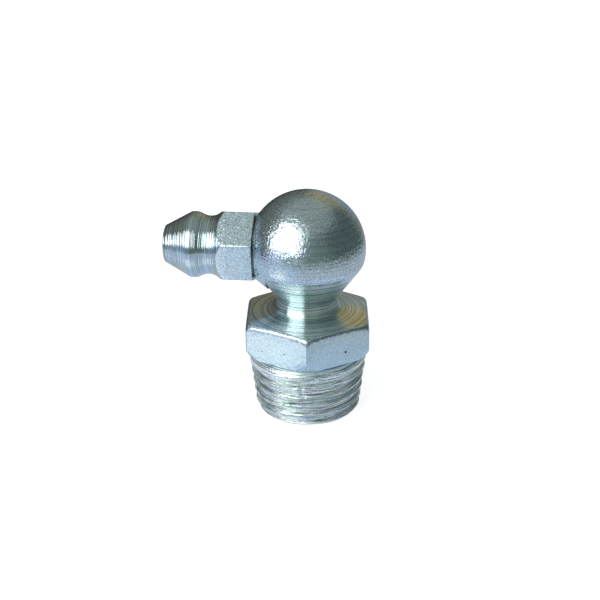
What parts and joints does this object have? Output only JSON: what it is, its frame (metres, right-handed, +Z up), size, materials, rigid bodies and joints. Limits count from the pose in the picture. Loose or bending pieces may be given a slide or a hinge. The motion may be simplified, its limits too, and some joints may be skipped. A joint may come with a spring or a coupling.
{
  "type": "right-angled grease nipple",
  "caption": "Right-angled grease nipple: a ball elbow on a spanner hexagon and tapered thread, with a pressed-in head closed by a sprung ball.",
  "frame": {"origin": "centre of the flat end face of the threaded stud", "axes": "+Z up the thread axis to the ball, -X along the nipple head towards its tip"},
  "size_m": [0.0187, 0.0126, 0.0207],
  "materials": {
    "body_steel": "zinc plated over turning marks, satin",
    "insert_steel": "zinc plated, turned head and grained hexagon flats",
    "ball_steel": "polished",
    "spring_steel": "drawn wire, plain"
  },
  "bodies": {
    "nipple": {"body": "body_steel", "insert": "insert_steel", "spring": "spring_steel"},
    "valve": {"check_ball": "ball_steel"}
  },
  "joints": [
    {"name": "check_ball_slide", "type": "slide", "parent": "nipple", "child": "valve", "axis": [1, 0, 0], "range_m": [0, 0.0015], "stiffness_N_per_m": 1260, "springref_m": -0.0004, "deforming": ["spring"]}
  ]
}
